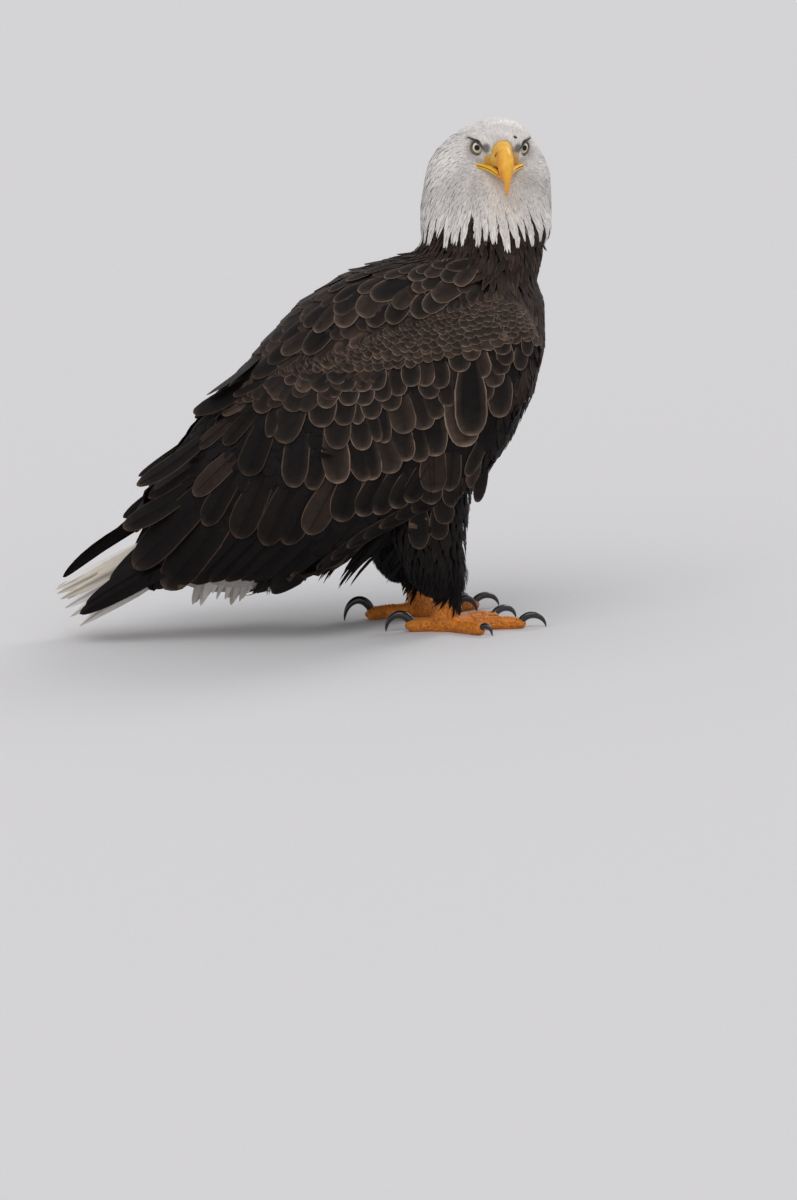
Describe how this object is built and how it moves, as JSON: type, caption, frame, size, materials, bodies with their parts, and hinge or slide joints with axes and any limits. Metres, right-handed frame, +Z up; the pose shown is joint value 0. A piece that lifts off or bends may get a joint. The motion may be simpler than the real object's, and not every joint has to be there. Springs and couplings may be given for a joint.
{
  "type": "standing bald eagle figure",
  "caption": "Life-size bald eagle standing on flat ground with wings folded, body side-on and head turned to look over its right side.",
  "frame": {"origin": "centre of the length and width, on the floor under the bird", "axes": "+X is the bird's forward, +Y is its left, +Z is up"},
  "size_m": [0.6231, 0.2426, 0.6169],
  "materials": {
    "white_feathers": "white overlapping feathers, matt",
    "brown_feathers": "dark brown overlapping feathers with paler edges, matt",
    "dark_wing_feathers": "blackish-brown wing and thigh feathers, slight sheen",
    "bill_horn": "smooth yellow horn, satin",
    "cere_skin": "bare yellow skin, satin",
    "eye": "pale cream iris with a black pupil under a clear wet surface",
    "foot_skin": "orange-yellow scaly skin, satin",
    "claw_horn": "black horn, glossy"
  },
  "bodies": {
    "root": {"bill_lower": "bill_horn", "bill_upper": "bill_horn", "cere": "cere_skin", "claw_hind_left": "claw_horn", "claw_hind_right": "claw_horn", "claw_inner_left": "claw_horn", "claw_inner_right": "claw_horn", "claw_middle_left": "claw_horn", "claw_middle_right": "claw_horn", "claw_outer_left": "claw_horn", "claw_outer_right": "claw_horn", "eye_left": "eye", "eye_right": "eye", "head": "white_feathers", "neck": "brown_feathers", "tail": "white_feathers", "tarsus_left": "foot_skin", "tarsus_right": "foot_skin", "thigh_left": "dark_wing_feathers", "thigh_right": "dark_wing_feathers", "toe_hind_left": "foot_skin", "toe_hind_right": "foot_skin", "toe_inner_left": "foot_skin", "toe_inner_right": "foot_skin", "toe_middle_left": "foot_skin", "toe_middle_right": "foot_skin", "toe_outer_left": "foot_skin", "toe_outer_right": "foot_skin", "trunk": "brown_feathers", "undertail": "white_feathers", "wing_left": "dark_wing_feathers", "wing_right": "dark_wing_feathers"}
  },
  "joints": []
}
